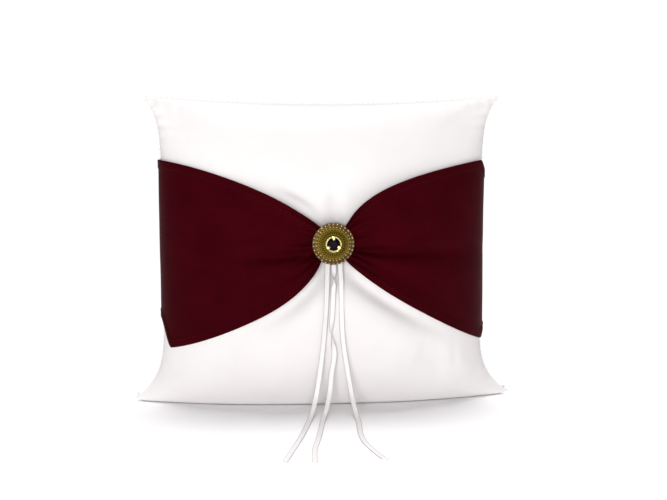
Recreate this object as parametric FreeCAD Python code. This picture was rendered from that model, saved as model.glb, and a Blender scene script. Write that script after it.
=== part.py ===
import FreeCAD, Part
import math
import os

os.makedirs("parts", exist_ok=True)

V = FreeCAD.Vector

# Frame: +X to the right, +Z up, the front faces -Y. The pillow stands on its lower edge at z = 0.

# Pillow
middle_width = 207.0  # half way up
upper_flare = 11.0  # how far each upper corner stands out beyond that
lower_flare = 21.5
top_height = 197.0  # upper corners above the table
top_pull = 5.0  # dip of the upper edge between its corners
bulge_height = 101.0  # where the pillow is thickest
half_depth = 37.0  # half of the greatest thickness
squash = 8.0  # how far the lower edge is pressed flat
ear_lift = 10.0  # how far the lower corners turn up, against the middle of the lower edge
corner_share = 0.14  # how flat the corners are drawn out
side_share = 0.03  # the same half way along an edge, where the pillow is rounder
side_sharpness = 8  # high: straight sides that flare out only near the corners
fullness = 0.65  # how much fuller than an ellipse the pillow is towards its upper and lower edge
fullness_drop = 0.35  # the upper half is that much less full, and the lower half more
cover_thickness = 1.2  # satin and its lining
filling_gap = 0.4
seam_diameter = 0.3
seam_clearance = 0.45  # from the rim to the seam thread's centre line
seam_levels = (-0.86, -0.8, -0.72, -0.6, -0.4, 0.45, 0.65, 0.77, 0.86, 0.92, 0.97)
seam_top_steps = 9

# Pinch in the middle, under the button
button_height = 106.0
button_aside = 4.0  # the button is sewn on a little to the right of the middle
wide_pinch = 11.0
wide_pinch_x = 30.0
wide_pinch_z = 22.0
shank_pinch = 5.0
shank_pinch_radius = 11.0
thread_radius = 0.45
thread_hole_radius = 0.8
knot_radius = 2.2
knot_y = 26.4
tie_radius = 3.0
tie_thickness = 0.6
tie_y = -25.2

# Burgundy band
band_gap = 0.8
band_thickness = 1.2
band_side_top = 157.0
band_side_bottom = 36.0
gather_above = 12.0  # the gathered middle's edges, above and below the button's centre
gather_below = 13.5
gather_share = 0.08  # half width of the gathered middle, as a share of the half width
flare_power = 0.85  # below 1: the band widens quickly beside the button
upper_rounding = 1.6  # above 1: the edge bulges out between the button and the side
lower_rounding = 1.25

# Button, counted forwards (towards -Y) from the back of its plate
plate_back = 33.6
plate_thickness = 0.8
button_radius = 13.0
disc_radius = 9.7
disc_rim_thickness = 0.7
disc_crown = 1.0
ring_base_thickness = 0.5
bead_count = 30
outer_bead_circle = 12.35
outer_bead_radius = 0.72
inner_bead_circle = 10.5
inner_bead_radius = 0.62
bezel_radius = 5.0
bezel_wall = 0.6
bezel_height = 2.0
bezel_floor = 0.5
prong_inset = 0.1  # from the bezel's outside
prong_count = 3
prong_width = 1.5
prong_reach = 1.5
prong_thickness = 0.5
stone_radius = 4.25
stone_table_radius = 2.5
stone_sides = 12
stone_height = 1.35
stone_clearance = 0.1
stone_lift = 0.05  # above the bezel's floor
girdle_height = 0.45
shank_ring_radius = 2.0
shank_wire_radius = 0.5
shank_sink = 0.2  # how far the eye is let into the plate before it is cut flush
eye_ring_radius = 1.8
eye_drop = 0.1  # how far the thread's ring is drawn forwards

# Ribbons
ribbon_width = 3.2
loop_half_width = 6.2
loop_hole_radius = 3.2
loop_front = [(5.0, 5.0), (5.0, -3.0), (3.2, -8.0), (1.5, -12.0), (-1.2, -15.0)]  # behind the plate, above the centre
loop_back = [(2.0, -15.0), (2.2, -12.0), (4.0, -8.0), (5.9, -3.0), (5.9, 5.0)]
ribbon_clearance = 0.1
ribbon_rest = ribbon_width / 2 + ribbon_clearance  # height of a tail's centre line where it lies
arc_share = 0.45  # of the shorter run at a corner, taken up by its arc

grid_steps = 30
band_steps_x = 30
band_steps_z = 16


def spread(angle, flat=corner_share):
    """Share of the half width or height at an angle of the grid, -90 to 90 degrees."""
    return (1 - flat) * math.sin(angle) + flat * angle / (math.pi / 2)


def half_width(b):
    """Half width at the level b, from -1 at the bottom to 1 at the top."""
    flare = upper_flare if b > 0 else lower_flare
    return middle_width / 2 + flare * abs(b) ** side_sharpness


def pinch(x, z):
    """Depth of the dimple that the sewn button pulls in."""
    aside = x - button_aside
    rise = z - button_height
    wide = wide_pinch * math.exp(-((aside / wide_pinch_x) ** 2) - (rise / wide_pinch_z) ** 2)
    narrow = shank_pinch * math.exp(-(aside * aside + rise * rise) / shank_pinch_radius**2)
    return wide + narrow


def reach_up(a, inset):
    """Height from the thickest level to the upper edge."""
    return top_height - bulge_height - top_pull * (1 - a * a) - inset


def reach_down(a, inset):
    """Depth from the thickest level to the lower edge before it is pressed flat."""
    return bulge_height + squash - ear_lift * a**4 - inset


def skin(angle_x, b, z, inset):
    """Point of the front half's skin, inset millimetres inside the cover."""
    a = spread(angle_x, side_share + (corner_share - side_share) * b * b)
    x = a * (half_width(b) - inset)
    crown = math.cos(angle_x) * math.sqrt(max(0.0, 1 - b * b)) * math.sqrt(1 + (fullness - fullness_drop * b) * b * b)
    edge = math.cos(angle_x) ** 0.5 * max(0.0, 1 - b * b) ** 0.5
    depth = (half_depth - inset) * crown - pinch(x, z) * edge
    return V(x, -max(depth, 0.0), z)


def cushion_point(i, j, inset):
    angle_x = math.pi * (i / grid_steps - 0.5)
    angle_z = math.pi * (j / grid_steps - 0.5)
    a = spread(angle_x)
    b = spread(angle_z)
    reach = reach_up(a, inset) if b > 0 else reach_down(a, inset)
    return skin(angle_x, b, bulge_height + b * reach, inset)


def surface(points):
    """Smooth surface through a grid of points."""
    spline = Part.BSplineSurface()
    spline.interpolate(points)
    return spline.toShape()


def half_cushion(inset, floor):
    """Closed solid between the front skin and the seam's plane, above the height floor."""
    steps = range(grid_steps + 1)
    front = surface([[cushion_point(i, j, inset) for j in steps] for i in steps])
    back = Part.Face(front.OuterWire)
    solid = Part.Solid(Part.Shell([front, back]))
    if solid.Volume < 0:
        solid.reverse()
    side = 2 * middle_width
    above = Part.makeBox(side, middle_width, side, V(-middle_width, -middle_width, floor))
    return solid.common(above)


def mirrored(shape):
    """The same shape on the other side of the seam's plane."""
    return shape.mirror(V(0, 0, 0), V(0, 1, 0))


def thread_hole():
    start = V(button_aside, -2 * half_depth, button_height)
    return Part.makeCylinder(thread_hole_radius, 4 * half_depth, start, V(0, 1, 0))


def band_edges(a):
    """Lower and upper edge of the front band, from the gathered middle out to the sides."""
    middle = 2 * button_aside / middle_width
    reach = 1 - middle if a > middle else 1 + middle
    share = max(0.0, (abs(a - middle) - gather_share) / (reach - gather_share)) ** flare_power
    upper = gather_above + (band_side_top - button_height - gather_above) * (1 - (1 - share) ** upper_rounding)
    lower = gather_below + (button_height - band_side_bottom - gather_below) * (1 - (1 - share) ** lower_rounding)
    return button_height - lower, button_height + upper


def band_solid(edges, steps_x, steps_z):
    """Shell over the front skin, between the heights that edges gives for each place across."""
    layers = []
    for gap in (band_gap, band_gap + band_thickness):
        rows = []
        for i in range(steps_x + 1):
            angle_x = math.pi * (i / steps_x - 0.5)
            a = spread(angle_x)
            low, high = edges(a)
            row = []
            for j in range(steps_z + 1):
                z = low + (high - low) * j / steps_z
                rise = z - bulge_height
                b = rise / (reach_up(a, 0) if rise > 0 else reach_down(a, 0))
                row.append(skin(angle_x, b, z, -gap))
            rows.append(row)
        layers.append(surface(rows))
    inner, outer = layers
    walls = [Part.makeRuledSurface(e, f) for e, f in zip(inner.Edges, outer.Edges)]
    shell = Part.makeShell([inner, outer] + walls)
    shell.sewShape()
    solid = Part.Solid(shell)
    if solid.Volume < 0:
        solid.reverse()
    return solid


def full_height(_a):
    return band_side_bottom, band_side_top


def disc(radius, start, thickness):
    """Round plate of the button, from start to start + thickness in front of the plate's back."""
    return Part.makeCylinder(radius, thickness, V(button_aside, -plate_back - start, button_height), V(0, -1, 0))


def ring(outer, inner, start, thickness):
    return disc(outer, start, thickness).cut(disc(inner, start - 1, thickness + 2))


def around(count):
    """Angles of evenly spaced pieces round the button, the first straight up."""
    return [2 * math.pi * n / count for n in range(count)]


def bead_ring(circle, radius):
    """Flat ring with half-round beads standing on its face."""
    base = ring(circle + radius, circle - radius, plate_thickness, ring_base_thickness)
    y = -plate_back - plate_thickness - ring_base_thickness
    beads = []
    for angle in around(bead_count):
        centre = V(button_aside + circle * math.sin(angle), y, button_height + circle * math.cos(angle))
        beads.append(Part.makeSphere(radius, centre, V(0, -1, 0), 0, 90, 360))
    return Part.makeCompound([base] + beads)


def filigree_disc():
    """Shallow dome: a flat back, a thin rim and a crown towards the middle."""
    rim = disc(disc_radius, plate_thickness, disc_rim_thickness)
    cone = Part.makeCone(
        disc_radius,
        bezel_radius,
        disc_crown,
        V(button_aside, -plate_back - plate_thickness - disc_rim_thickness, button_height),
        V(0, -1, 0),
    )
    return rim.fuse(cone)


def stone_bezel():
    """Cup with a floor, a thin wall and prongs that lean in over the stone."""
    start = plate_thickness + disc_rim_thickness + disc_crown
    cup = disc(bezel_radius, start, bezel_height).cut(disc(bezel_radius - bezel_wall, start + bezel_floor, bezel_height))
    prongs = []
    for angle in around(prong_count):
        outer = bezel_radius - prong_inset
        length = prong_reach + bezel_wall
        prong = Part.makeBox(
            prong_width,
            prong_thickness,
            length,
            V(-prong_width / 2, -plate_back - start - bezel_height - prong_thickness, outer - length),
        )
        prong.rotate(V(0, 0, 0), V(0, 1, 0), math.degrees(angle))
        prong.translate(V(button_aside, 0, button_height))
        prongs.append(prong)
    return cup.multiFuse(prongs)


def centre_stone():
    """Rose-cut black stone: a straight girdle and sloping facets up to a flat table."""
    start = plate_thickness + disc_rim_thickness + disc_crown + bezel_floor + stone_lift
    girdle_radius = stone_radius - stone_clearance
    levels = [(girdle_radius, 0), (girdle_radius, girdle_height), (stone_table_radius, stone_height)]
    wires = []
    for radius, rise in levels:
        corners = []
        for angle in around(stone_sides):
            aside = button_aside + radius * math.sin(angle)
            corners.append(V(aside, -plate_back - start - rise, button_height + radius * math.cos(angle)))
        wires.append(Part.makePolygon(corners + corners[:1]))
    return Part.makeLoft(wires, True, True)


def shank_loop():
    """Wire eye on the back of the plate, lying level."""
    centre = V(button_aside, -plate_back + shank_ring_radius - shank_sink, button_height)
    eye = Part.makeTorus(shank_ring_radius, shank_wire_radius, centre, V(0, 0, 1))
    return eye.cut(disc(button_radius, 0, 2 * shank_ring_radius))


def tuft_thread():
    """Thread through the pillow, ending in a ring that holds the button's eye."""
    ring_centre_y = -plate_back + 2 * shank_ring_radius - eye_drop
    centre = V(button_aside, ring_centre_y, button_height)
    eye = Part.makeTorus(eye_ring_radius, thread_radius, centre, V(1, 0, 0))
    length = knot_y - knot_radius - ring_centre_y - eye_ring_radius
    stem = Part.makeCylinder(thread_radius, length, centre + V(0, eye_ring_radius, 0), V(0, 1, 0))
    return eye.fuse(stem)


def ribbon_loop():
    """Folded middle of the ribbons behind the button, as one flat pad with the thread's hole."""
    left = button_aside - loop_half_width
    corners = [V(left, behind - plate_back, button_height + rise) for behind, rise in loop_front + loop_back]
    pad = Part.Face(Part.makePolygon(corners + corners[:1])).extrude(V(2 * loop_half_width, 0, 0))
    hole_start = V(button_aside, -plate_back - loop_hole_radius, button_height)
    return pad.cut(Part.makeCylinder(loop_hole_radius, plate_back, hole_start, V(0, 1, 0)))


def tube(name, points, diameter):
    """Round tube along straight runs joined by tangent arcs; prints the arcs' radii."""
    points = [V(*p) for p in points]
    edges = []
    radii = []
    start = points[0]
    for before, at, after in zip(points, points[1:], points[2:]):
        run_in = before - at
        run_out = after - at
        shorter = min(run_in.Length, run_out.Length)
        setback = arc_share * shorter
        run_in.normalize()
        run_out.normalize()
        half_turn = (math.pi - run_in.getAngle(run_out)) / 2
        radius = setback / math.tan(half_turn)
        radii.append(radius)
        first = at + run_in * setback
        last = at + run_out * setback
        inward = run_in + run_out
        inward.normalize()
        middle = at + inward * (radius / math.cos(half_turn) - radius)
        edges.append(Part.LineSegment(start, first).toShape())
        edges.append(Part.Arc(first, middle, last).toShape())
        start = last
    edges.append(Part.LineSegment(start, points[-1]).toShape())
    path = Part.Wire(edges)
    circle = Part.Wire(Part.Circle(points[0], points[1] - points[0], diameter / 2).toShape())
    solid = path.makePipeShell([circle], True, False)
    wanted = path.Length * math.pi * diameter**2 / 4
    print(name, "length", round(path.Length, 1), "volume ratio", round(solid.Volume / wanted, 4))
    print(name, "radii", [round(r, 1) for r in radii])
    return solid


def seam_route():
    """Points just outside the rim: up one side, over the top and down the other."""
    side = []
    for b in seam_levels:
        z = bulge_height + b * (reach_up(1, 0) if b > 0 else reach_down(1, 0))
        side.append((half_width(b) + seam_clearance, 0, z))
    top = []
    for n in range(1, seam_top_steps):
        a = 1 - 2 * n / seam_top_steps
        top.append((a * half_width(1), 0, bulge_height + reach_up(a, 0) + seam_clearance))
    right = side + [(half_width(1) + seam_clearance, 0, top_height + seam_clearance)]
    left = [(-x, y, z) for x, y, z in reversed(right)]
    return right + top + left


ribbon_routes = {
    "ribbon_left": [
        (0.4, -33.2, 91.0),
        (-0.1, -38.0, 78.5),
        (-1.3, -40.5, 62.0),
        (-2.8, -41.2, 44.0),
        (-5.6, -41.8, 22.0),
        (-8.2, -44.0, 8.2),
        (-11.2, -52.0, 2.0),
        (-14.4, -68.0, ribbon_rest),
        (-18.6, -90.0, ribbon_rest),
        (-24.6, -115.0, ribbon_rest),
        (-30.2, -138.0, ribbon_rest),
    ],
    "ribbon_middle": [
        (4.4, -33.2, 91.0),
        (3.9, -38.1, 78.0),
        (3.1, -40.4, 63.5),
        (2.2, -41.2, 50.0),
        (4.6, -41.4, 38.5),
        (2.4, -41.6, 26.0),
        (1.2, -43.2, 13.0),
        (-1.6, -48.5, 4.6),
        (-4.4, -58.5, ribbon_rest),
        (-6.6, -76.0, ribbon_rest),
        (-9.6, -98.0, ribbon_rest),
        (-13.6, -120.0, ribbon_rest),
        (-14.2, -139.5, ribbon_rest),
    ],
    "ribbon_right": [
        (8.4, -33.2, 91.0),
        (8.8, -38.0, 78.5),
        (8.7, -40.5, 62.0),
        (9.4, -41.2, 46.0),
        (12.4, -41.9, 26.0),
        (15.2, -44.2, 10.0),
        (17.0, -52.5, 3.0),
        (17.2, -66.0, ribbon_rest),
        (15.2, -93.0, ribbon_rest),
        (17.8, -116.0, ribbon_rest),
        (24.0, -138.0, ribbon_rest),
    ],
}

# Cover and filling
hole = thread_hole()
outer = half_cushion(0, 0)
inner = half_cushion(cover_thickness, cover_thickness)
core = half_cushion(cover_thickness + filling_gap, cover_thickness + filling_gap)
cover_front = outer.cut(inner).cut(hole)
nodes = {
    "cover_front": cover_front,
    "cover_back": mirrored(cover_front),
    "filling": core.fuse(mirrored(core)).cut(hole),
}

# Band
nodes["band_front"] = band_solid(band_edges, band_steps_x, band_steps_z).cut(hole)
nodes["band_back"] = mirrored(band_solid(full_height, band_steps_x, band_steps_z)).cut(hole)
nodes["gather_tie"] = Part.makeTorus(tie_radius, tie_thickness, V(button_aside, tie_y, button_height), V(0, 1, 0))

# Sewing
nodes["edge_stitching"] = tube("edge_stitching", seam_route(), seam_diameter)
nodes["tuft_thread"] = tuft_thread()
nodes["back_knot"] = Part.makeSphere(knot_radius, V(button_aside, knot_y, button_height))

# Button
nodes["button_plate"] = disc(button_radius, 0, plate_thickness)
nodes["shank_loop"] = shank_loop()
nodes["filigree_disc"] = filigree_disc()
nodes["outer_beads"] = bead_ring(outer_bead_circle, outer_bead_radius)
nodes["inner_beads"] = bead_ring(inner_bead_circle, inner_bead_radius)
nodes["stone_bezel"] = stone_bezel()
nodes["centre_stone"] = centre_stone()

# Ribbons
nodes["ribbon_loop"] = ribbon_loop()
for name, route in ribbon_routes.items():
    nodes[name] = tube(name, route, ribbon_width)

for name, shape in nodes.items():
    box = shape.BoundBox
    print(name, shape.isValid(), len(shape.Solids), round(shape.Volume, 1), end=" ")
    print([round(v, 2) for v in (box.XMin, box.XMax, box.YMin, box.YMax, box.ZMin, box.ZMax)])
    shape.exportStep("parts/" + name + ".step")
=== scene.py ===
import math

import bmesh
import bpy
import numpy as np
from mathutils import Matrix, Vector


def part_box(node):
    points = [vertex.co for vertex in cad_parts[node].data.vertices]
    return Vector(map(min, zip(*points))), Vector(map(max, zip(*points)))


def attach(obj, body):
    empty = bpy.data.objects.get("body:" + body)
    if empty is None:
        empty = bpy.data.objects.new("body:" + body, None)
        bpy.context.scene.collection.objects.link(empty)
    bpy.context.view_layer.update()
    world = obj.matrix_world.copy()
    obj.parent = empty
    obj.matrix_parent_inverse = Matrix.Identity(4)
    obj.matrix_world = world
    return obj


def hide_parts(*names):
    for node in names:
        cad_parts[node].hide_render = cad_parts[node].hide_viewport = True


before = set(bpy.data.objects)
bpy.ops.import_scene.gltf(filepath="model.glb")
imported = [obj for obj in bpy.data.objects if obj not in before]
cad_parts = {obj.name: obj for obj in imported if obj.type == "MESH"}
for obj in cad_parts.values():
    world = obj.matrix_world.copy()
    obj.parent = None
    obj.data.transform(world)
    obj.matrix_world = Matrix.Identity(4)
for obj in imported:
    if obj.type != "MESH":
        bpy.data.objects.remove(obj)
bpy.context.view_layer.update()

scene = bpy.context.scene

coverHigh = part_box("cover_front")[1]
bandLow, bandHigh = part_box("band_front")
plateLow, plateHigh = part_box("button_plate")
buttonX = (plateLow.x + plateHigh.x) / 2
buttonZ = (plateLow.z + plateHigh.z) / 2
plateRadius = (plateHigh.x - plateLow.x) / 2
plateBack = plateHigh.y  # the button grows from here towards -Y


# helpers for meshes

def gridFaces(rows, columns, closeRows=False, closeColumns=False):
    # quads between neighbouring grid points; a closed way also joins its last row or column to its first
    r = np.arange(rows if closeRows else rows - 1)
    c = np.arange(columns if closeColumns else columns - 1)
    r, c = np.meshgrid(r, c, indexing="ij")
    r2, c2 = (r + 1) % rows, (c + 1) % columns
    corners = [r * columns + c, r2 * columns + c, r2 * columns + c2, r * columns + c2]
    return np.stack(corners, -1).reshape(-1, 4)


def repeated(faces, size, count):
    # faces of one shape repeated for each of count copies that have so many points
    return (faces[None] + (np.arange(count) * size)[:, None, None]).reshape(-1, faces.shape[1])


def meshPiece(name, points, faces, uv=None, material=None, smooth=True):
    # object at the origin from an array of points and an array of equal-sided faces
    points, faces = np.asarray(points, np.float32).reshape(-1, 3), np.asarray(faces)
    mesh = bpy.data.meshes.new(name)
    mesh.vertices.add(len(points))
    mesh.vertices.foreach_set("co", points.ravel())
    mesh.loops.add(faces.size)
    mesh.loops.foreach_set("vertex_index", faces.ravel().astype(np.int32))
    mesh.polygons.add(len(faces))
    mesh.polygons.foreach_set("loop_start", (np.arange(len(faces)) * faces.shape[1]).astype(np.int32))
    mesh.polygons.foreach_set("use_smooth", np.full(len(faces), smooth))
    mesh.update(calc_edges=True)
    if uv is not None:
        layer = mesh.uv_layers.new(name="UVMap")
        layer.data.foreach_set("uv", np.asarray(uv, np.float32).reshape(-1, 2)[faces.ravel()].ravel())
    mesh.validate()
    piece = bpy.data.objects.new(name, mesh)
    scene.collection.objects.link(piece)
    if material:
        mesh.materials.append(material)
    return piece


def closeMesh(piece, distance=1e-6):
    # points nearer than distance are merged, and faces are turned to point outwards
    work = bmesh.new()
    work.from_mesh(piece.data)
    bmesh.ops.remove_doubles(work, verts=work.verts, dist=distance)
    bmesh.ops.dissolve_degenerate(work, edges=work.edges, dist=distance / 2)
    bmesh.ops.recalc_face_normals(work, faces=work.faces)
    work.to_mesh(piece.data)
    work.free()


def paintPoints(piece, name, values):
    # one number for each point, which the material reads back by name
    layer = piece.data.attributes.new(name, "FLOAT", "POINT")
    layer.data.foreach_set("value", np.asarray(values, np.float32).ravel())


def pointsOf(mesh):
    # the mesh's points as an array
    points = np.zeros(len(mesh.vertices) * 3, np.float32)
    mesh.vertices.foreach_get("co", points)
    return points.reshape(-1, 3).astype(float)


def smoothStep(low, high, value):
    # 0 below low, 1 above high, 3t^2 - 2t^3 between
    t = np.clip((value - low) / (high - low), 0, 1)
    return t * t * (3 - 2 * t)


def bell(value, width):
    # exp(-(value / width)^2)
    return np.exp(-((value / width) ** 2))


def softNoise(u, v, seed, octaves=3, waves=4):
    # sum of sines of u and v with fixed random directions and phases, about -1 to 1
    rng = np.random.default_rng(seed)
    total = np.zeros(np.broadcast(u, v).shape)
    for octave in range(octaves):
        for _ in range(waves):
            angle, phase = rng.uniform(0, 2 * math.pi, 2)
            size = 2**octave * rng.uniform(0.7, 1.3)
            total = total + np.sin(size * (u * math.cos(angle) + v * math.sin(angle)) + phase) / 2**octave
    return total / waves


def gridNormals(points, closeColumns=False):
    # cross product of the two central differences of a grid of points
    if closeColumns:
        wide = np.concatenate([points[:, -1:], points, points[:, :1]], 1)
        along = (wide[:, 2:] - wide[:, :-2]) / 2
    else:
        along = np.gradient(points, axis=1)
    normal = np.cross(np.gradient(points, axis=0), along)
    return normal / np.maximum(np.linalg.norm(normal, axis=-1, keepdims=True), 1e-12)


# helpers for materials

def newMaterial(name, colour, **sockets):
    # Principled material; sockets are shader inputs with spaces written as underscores
    material = bpy.data.materials.new(name)
    material.use_nodes = True
    shader = material.node_tree.nodes["Principled BSDF"]
    shader.inputs["Base Color"].default_value = (*colour, 1)
    for key, value in sockets.items():
        shader.inputs[key.replace("_", " ")].default_value = value
    return material


def addNode(material, kind, links=(), **settings):
    # node of that kind; settings go to its attributes or inputs, links are (input name, source socket)
    node = material.node_tree.nodes.new("ShaderNode" + kind)
    for key, value in settings.items():
        if hasattr(node, key):
            setattr(node, key, value)
        else:
            node.inputs[key.replace("_", " ")].default_value = value
    for name, source in links:
        material.node_tree.links.new(source, node.inputs[name])
    return node


def toShader(material, name, source):
    shader = material.node_tree.nodes["Principled BSDF"]
    material.node_tree.links.new(source, shader.inputs[name])


def ramp(material, source, stops):
    # colour ramp over (place, colour) stops
    node = addNode(material, "ValToRGB", [("Fac", source)])
    elements = node.color_ramp.elements
    while len(elements) < len(stops):
        elements.new(0.5)
    for element, (place, colour) in zip(elements, stops):
        element.position = place
        element.color = (*colour, 1)
    return node.outputs["Color"]


def threadBump(material, coordinate, scale, turn, strength, distance, slubs=0.25):
    # fine parallel threads: sine bands across one way, broken up by long noise, as a bump
    turned = addNode(material, "Mapping", [("Vector", coordinate)], Rotation=(0, 0, turn), Scale=scale)
    threads = addNode(
        material,
        "TexWave",
        [("Vector", turned.outputs["Vector"])],
        wave_type="BANDS",
        bands_direction="X",
        Scale=1.0,
        Distortion=0.6,
        Detail=1.0,
    )
    slub = addNode(material, "TexNoise", [("Vector", turned.outputs["Vector"])], Scale=0.35, Detail=3.0)
    both = addNode(material, "Mix", data_type="FLOAT")
    both.inputs[0].default_value = slubs
    material.node_tree.links.new(threads.outputs["Fac"], both.inputs[2])
    material.node_tree.links.new(slub.outputs["Fac"], both.inputs[3])
    bump = addNode(material, "Bump", [("Height", both.outputs[0])], Strength=strength, Distance=distance)
    toShader(material, "Normal", bump.outputs["Normal"])
    return bump


# camera, floor and light

stage = {
    "azimuth": -4.5,  # degrees; minus is to the left of straight in front
    "elevation": 7.0,
    "distance": 0.70,  # from the button
    "seenWidth": 0.413,  # width of the view at the button
    "aimDrop": 0.0037,  # the view's middle lies this far below the button
    "aimFront": 0.002,  # and this far in front of its plate's back
    "floorSide": 4.0,
    "floorColour": (0.90, 0.885, 0.895),
    "roomColour": (0.97, 0.97, 1.0),
    "roomLight": 0.25,
    "roomSeen": 1.05,
    "lamps": (  # name, kind, place, power, size in metres or degrees
        ("overhead light", "SUN", (0.04, 0.30, 1.4), 3.1, 34.0),
        ("front lamp", "AREA", (-0.25, -1.55, 0.13), 27.0, 0.8),
    ),
}


def makeCamera():
    # camera on a sphere round the button: back = (sin az cos el, -cos az cos el, sin el)
    azimuth, elevation = math.radians(stage["azimuth"]), math.radians(stage["elevation"])
    level = math.cos(elevation)
    back = Vector((math.sin(azimuth) * level, -math.cos(azimuth) * level, math.sin(elevation)))
    data = bpy.data.cameras.new("camera")
    data.sensor_width = 36
    data.lens = data.sensor_width * stage["distance"] / stage["seenWidth"]
    camera = bpy.data.objects.new("camera", data)
    scene.collection.objects.link(camera)
    aim = Vector((buttonX, plateBack - stage["aimFront"], buttonZ - stage["aimDrop"]))
    camera.location = aim + back * stage["distance"]
    camera.rotation_mode = "QUATERNION"
    camera.rotation_quaternion = (-back).to_track_quat("-Z", "Y")
    scene.camera = camera


def makeFloorAndLight():
    # wide pale floor at z = 0, a room that lights dimly but is seen white, and the two lamps
    side = stage["floorSide"]
    corners = np.array([(-side, -side, 0), (side, -side, 0), (side, side, 0), (-side, side, 0)])
    material = newMaterial("pale floor", stage["floorColour"], Roughness=0.8, Specular_IOR_Level=0.2)
    floor = meshPiece("paleFloor", corners, [(0, 1, 2, 3)], material=material, smooth=False)
    world = bpy.data.worlds.new("white room")
    scene.world = world
    world.use_nodes = True
    nodes, links = world.node_tree.nodes, world.node_tree.links
    dim = nodes["Background"]
    dim.inputs["Color"].default_value = (*stage["roomColour"], 1)
    dim.inputs["Strength"].default_value = stage["roomLight"]
    seen = nodes.new("ShaderNodeBackground")
    seen.inputs["Color"].default_value = (1, 1, 1, 1)
    seen.inputs["Strength"].default_value = stage["roomSeen"]
    path, either = nodes.new("ShaderNodeLightPath"), nodes.new("ShaderNodeMixShader")
    links.new(path.outputs["Is Camera Ray"], either.inputs[0])
    links.new(dim.outputs[0], either.inputs[1])
    links.new(seen.outputs[0], either.inputs[2])
    links.new(either.outputs[0], nodes["World Output"].inputs["Surface"])
    for name, kind, place, power, size in stage["lamps"]:
        data = bpy.data.lights.new(name, kind)
        data.energy = power
        if kind == "SUN":
            data.angle = math.radians(size)
        else:
            data.size = size
        lamp = bpy.data.objects.new(name, data)
        scene.collection.objects.link(lamp)
        lamp.location = place
        lamp.rotation_mode = "QUATERNION"
        lamp.rotation_quaternion = (Vector((buttonX, 0, buttonZ)) - Vector(place)).to_track_quat("-Z", "Y")
    scene.view_settings.view_transform = "Standard"


makeCamera()
makeFloorAndLight()
print("camera, floor and light ready")


# finishes

def whiteSatinMaterial():
    # bright satin: fine threads, soft highlights, a faint warm cloudiness
    material = newMaterial(
        "white satin",
        (0.72, 0.70, 0.695),
        Roughness=0.55,
        Anisotropic=0.3,
        Specular_IOR_Level=0.3,
    )
    place = addNode(material, "TexCoord").outputs["Object"]
    cloud = addNode(material, "TexNoise", [("Vector", place)], Scale=22.0, Detail=3.0)
    stops = [(0.3, (0.708, 0.683, 0.673)), (0.7, (0.738, 0.716, 0.706))]
    toShader(material, "Base Color", ramp(material, cloud.outputs["Fac"], stops))
    threadBump(material, place, (2600.0, 900.0, 2600.0), 0.0, 0.10, 0.0002)
    return material


def burgundySatinMaterial():
    # deep wine satin: slanting threads, a wine-red gloss, a little lighter in slow clouds
    material = newMaterial(
        "burgundy satin",
        (0.04, 0.0010, 0.003),
        Roughness=0.46,
        Sheen_Weight=0.08,
        Sheen_Roughness=0.3,
        Sheen_Tint=(0.5, 0.02, 0.05, 1),
        Specular_IOR_Level=0.03,
        Specular_Tint=(0.9, 0.05, 0.10, 1),
    )
    uv = addNode(material, "TexCoord").outputs["UV"]
    cloud = addNode(material, "TexNoise", [("Vector", uv)], Scale=0.05, Detail=3.0)
    stops = [(0.32, (0.029, 0.0008, 0.0024)), (0.68, (0.036, 0.0010, 0.0030))]
    toShader(material, "Base Color", ramp(material, cloud.outputs["Fac"], stops))
    threadBump(material, uv, (2.6, 0.9, 1.0), math.radians(35), 0.22, 0.00012, slubs=0.3)
    return material


def burgundyThreadMaterial():
    # sewing thread in about the band's colour
    material = newMaterial("burgundy thread", (0.034, 0.0010, 0.003), Roughness=0.6, Specular_IOR_Level=0.1)
    place = addNode(material, "TexCoord").outputs["Object"]
    threadBump(material, place, (3200.0, 3200.0, 3200.0), math.radians(30), 0.35, 0.0001, slubs=0.1)
    return material


def ribbonSatinMaterial():
    # narrow satin ribbon: fine threads, and a darker colour along both edges
    material = newMaterial(
        "ribbon satin",
        (0.76, 0.735, 0.725),
        Roughness=0.4,
        Specular_IOR_Level=0.5,
        Anisotropic=0.5,
    )
    uv = addNode(material, "TexCoord").outputs["UV"]
    split = addNode(material, "SeparateXYZ", [("Vector", uv)])
    edge = addNode(material, "Math", [(0, split.outputs["Y"])], operation="PINGPONG")
    edge.inputs[1].default_value = 0.5
    stops = [(0.0, (0.50, 0.48, 0.48)), (0.09, (0.57, 0.55, 0.545)), (0.13, (0.72, 0.70, 0.69))]
    toShader(material, "Base Color", ramp(material, edge.outputs[0], stops))
    threadBump(material, uv, (8.4, 1.0, 1.0), math.radians(90), 0.2, 0.00008)
    return material


def threadMaterial():
    # spun white thread: slanting plies along its length
    material = newMaterial("white thread", (0.74, 0.725, 0.715), Roughness=0.6)
    place = addNode(material, "TexCoord").outputs["Object"]
    threadBump(material, place, (3200.0, 3200.0, 3200.0), math.radians(30), 0.35, 0.0001, slubs=0.1)
    return material


def fibreMaterial():
    # matte loose fibre
    material = newMaterial("fibre fill", (0.85, 0.85, 0.83), Roughness=0.95, Sheen_Weight=0.5)
    place = addNode(material, "TexCoord").outputs["Object"]
    fuzz = addNode(material, "TexNoise", [("Vector", place)], Scale=400.0, Detail=6.0)
    bump = addNode(material, "Bump", [("Height", fuzz.outputs["Fac"])], Strength=0.6, Distance=0.0008)
    toShader(material, "Normal", bump.outputs["Normal"])
    return material


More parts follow.
